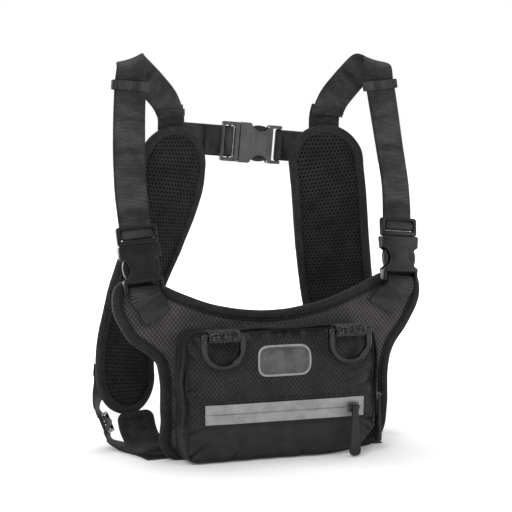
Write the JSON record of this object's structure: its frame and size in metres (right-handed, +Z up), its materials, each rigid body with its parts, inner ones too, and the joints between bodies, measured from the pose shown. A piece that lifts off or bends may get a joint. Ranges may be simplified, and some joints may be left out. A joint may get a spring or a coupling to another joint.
{
  "type": "chest-pack harness vest",
  "caption": "Harness vest with a zipped chest pouch on a padded panel, buckled webbing shoulder straps, padded mesh back wings and a buckled back strap.",
  "frame": {"origin": "floor level, at the middle of the bounding box", "axes": "+Z up; the wearer faces -Y, so the pouch is at -Y and the back wings at +Y; +X is the wearer's left"},
  "size_m": [0.3634, 0.1872, 0.4459],
  "materials": {
    "ripstop": "matt woven nylon with a ripstop grid",
    "mesh_padding": "knitted spacer mesh over foam",
    "binding": "ribbed fold-over binding",
    "lining": "plain lining cloth",
    "zip_tape": "woven zip tape with a nylon coil",
    "reflective": "grey retroreflective film on cloth",
    "puller_rubber": "moulded soft rubber",
    "zip_metal": "black painted die-cast slider",
    "ring_plastic": "glossy moulded acetal",
    "buckle_plastic": "fine-textured moulded acetal",
    "webbing": "ribbed polyester webbing"
  },
  "bodies": {
    "vest": {"back_socket": "buckle_plastic", "back_strap_left": "webbing", "badge": "reflective", "buckle_tab_left": "webbing", "buckle_tab_right": "webbing", "d_ring_tab_left": "webbing", "d_ring_tab_right": "webbing", "front_socket_left": "buckle_plastic", "front_socket_right": "buckle_plastic", "front_zip_coil": "zip_tape", "front_zip_tape": "reflective", "main_zip_tape": "zip_tape", "panel_binding": "binding", "panel_pad": "mesh_padding", "panel_shell": "ripstop", "pocket_divider": "lining", "pouch_shell": "ripstop", "shoulder_strap_upper_left": "webbing", "shoulder_strap_upper_right": "webbing", "side_tongue_left": "mesh_padding", "side_tongue_right": "mesh_padding", "side_webbing_left": "webbing", "side_webbing_right": "webbing", "wing_binding_left": "binding", "wing_binding_right": "binding", "wing_pad_left": "mesh_padding", "wing_pad_right": "mesh_padding", "yoke_tab_left": "webbing", "yoke_tab_right": "webbing"},
    "front_plug_left": {"front_plug_left": "buckle_plastic", "shoulder_strap_lower_left": "webbing"},
    "front_plug_outer_arm_left": {"front_plug_outer_arm_left": "buckle_plastic"},
    "front_plug_inner_arm_left": {"front_plug_inner_arm_left": "buckle_plastic"},
    "front_plug_right": {"front_plug_right": "buckle_plastic", "shoulder_strap_lower_right": "webbing"},
    "front_plug_outer_arm_right": {"front_plug_outer_arm_right": "buckle_plastic"},
    "front_plug_inner_arm_right": {"front_plug_inner_arm_right": "buckle_plastic"},
    "back_plug": {"back_plug": "buckle_plastic", "back_strap_right": "webbing"},
    "back_plug_upper_arm": {"back_plug_upper_arm": "buckle_plastic"},
    "back_plug_lower_arm": {"back_plug_lower_arm": "buckle_plastic"},
    "d_ring_left": {"d_ring_left": "ring_plastic"},
    "strap_keeper_left": {"strap_keeper_left": "webbing"},
    "side_adjuster_left": {"side_adjuster_left": "buckle_plastic"},
    "d_ring_right": {"d_ring_right": "ring_plastic"},
    "strap_keeper_right": {"strap_keeper_right": "webbing"},
    "side_adjuster_right": {"side_adjuster_right": "buckle_plastic"},
    "front_zip_slider": {"front_zip_slider": "zip_metal"},
    "front_zip_puller": {"front_zip_puller": "puller_rubber"},
    "main_zip_slider": {"main_zip_slider": "zip_metal"},
    "main_zip_puller": {"main_zip_puller": "puller_rubber"}
  },
  "joints": [
    {"name": "front_plug_left_release", "type": "slide", "parent": "vest", "child": "front_plug_left", "axis": [0.0698, 0.2074, 0.9758], "range_m": [0, 0.036], "deforming": ["shoulder_strap_lower_left"]},
    {"name": "front_plug_outer_arm_left_squeeze", "type": "hinge", "parent": "front_plug_left", "child": "front_plug_outer_arm_left", "pos_m": [0.16737, -0.03893, 0.23658], "axis": [-0.1043, 0.9743, -0.1997], "range_deg": [0, 6], "stiffness_Nm_per_rad": 0.3},
    {"name": "front_plug_inner_arm_left_squeeze", "type": "hinge", "parent": "front_plug_left", "child": "front_plug_inner_arm_left", "pos_m": [0.14058, -0.0413, 0.239], "axis": [0.1043, -0.9743, 0.1997], "range_deg": [0, 6], "stiffness_Nm_per_rad": 0.3},
    {"name": "front_plug_right_release", "type": "slide", "parent": "vest", "child": "front_plug_right", "axis": [-0.0698, 0.2074, 0.9758], "range_m": [0, 0.036], "deforming": ["shoulder_strap_lower_right"]},
    {"name": "front_plug_outer_arm_right_squeeze", "type": "hinge", "parent": "front_plug_right", "child": "front_plug_outer_arm_right", "pos_m": [-0.16737, -0.03893, 0.23658], "axis": [-0.1043, -0.9743, 0.1997], "range_deg": [0, 6], "stiffness_Nm_per_rad": 0.3},
    {"name": "front_plug_inner_arm_right_squeeze", "type": "hinge", "parent": "front_plug_right", "child": "front_plug_inner_arm_right", "pos_m": [-0.14058, -0.0413, 0.239], "axis": [0.1043, 0.9743, -0.1997], "range_deg": [0, 6], "stiffness_Nm_per_rad": 0.3},
    {"name": "back_plug_release", "type": "slide", "parent": "vest", "child": "back_plug", "axis": [-0.9962, 0, 0.0872], "range_m": [0, 0.036], "deforming": ["back_strap_right"]},
    {"name": "back_plug_upper_arm_squeeze", "type": "hinge", "parent": "back_plug", "child": "back_plug_upper_arm", "pos_m": [-0.00542, 0.04597, 0.35759], "axis": [0, 1, 0], "range_deg": [0, 6], "stiffness_Nm_per_rad": 0.3},
    {"name": "back_plug_lower_arm_squeeze", "type": "hinge", "parent": "back_plug", "child": "back_plug_lower_arm", "pos_m": [-0.00778, 0.04597, 0.3307], "axis": [0, -1, 0], "range_deg": [0, 6], "stiffness_Nm_per_rad": 0.3},
    {"name": "d_ring_left_swing", "type": "hinge", "parent": "vest", "child": "d_ring_left", "pos_m": [0.074, -0.08803, 0.14118], "axis": [-1, 0, 0], "range_deg": [0, 150]},
    {"name": "strap_keeper_left_slide", "type": "slide", "parent": "vest", "child": "strap_keeper_left", "axis": [-0.0992, 0.1393, 0.9853], "range_m": [-0.02, 0]},
    {"name": "side_adjuster_left_slide", "type": "slide", "parent": "vest", "child": "side_adjuster_left", "axis": [0.3069, 0.261, 0.9153], "range_m": [-0.006, 0.01], "deforming": ["side_webbing_left"]},
    {"name": "d_ring_right_swing", "type": "hinge", "parent": "vest", "child": "d_ring_right", "pos_m": [-0.074, -0.08803, 0.14118], "axis": [-1, 0, 0], "range_deg": [0, 150]},
    {"name": "strap_keeper_right_slide", "type": "slide", "parent": "vest", "child": "strap_keeper_right", "axis": [0.0992, 0.1393, 0.9853], "range_m": [-0.02, 0]},
    {"name": "side_adjuster_right_slide", "type": "slide", "parent": "vest", "child": "side_adjuster_right", "axis": [-0.3069, 0.261, 0.9153], "range_m": [-0.006, 0.01], "deforming": ["side_webbing_right"]},
    {"name": "front_zip_slide", "type": "slide", "parent": "vest", "child": "front_zip_slider", "axis": [-1, 0, 0], "range_m": [0, 0.164]},
    {"name": "front_puller_swing", "type": "hinge", "parent": "front_zip_slider", "child": "front_zip_puller", "pos_m": [0.08, -0.08983, 0.05518], "axis": [-1, 0, 0], "range_deg": [0, 150]},
    {"name": "main_zip_slide", "type": "slide", "parent": "vest", "child": "main_zip_slider", "axis": [0, 0, 1], "range_m": [0, 0.058]},
    {"name": "main_puller_swing", "type": "hinge", "parent": "main_zip_slider", "child": "main_zip_puller", "pos_m": [0.1208, -0.06103, 0.06318], "axis": [0, -1, 0], "range_deg": [0, 150]}
  ]
}
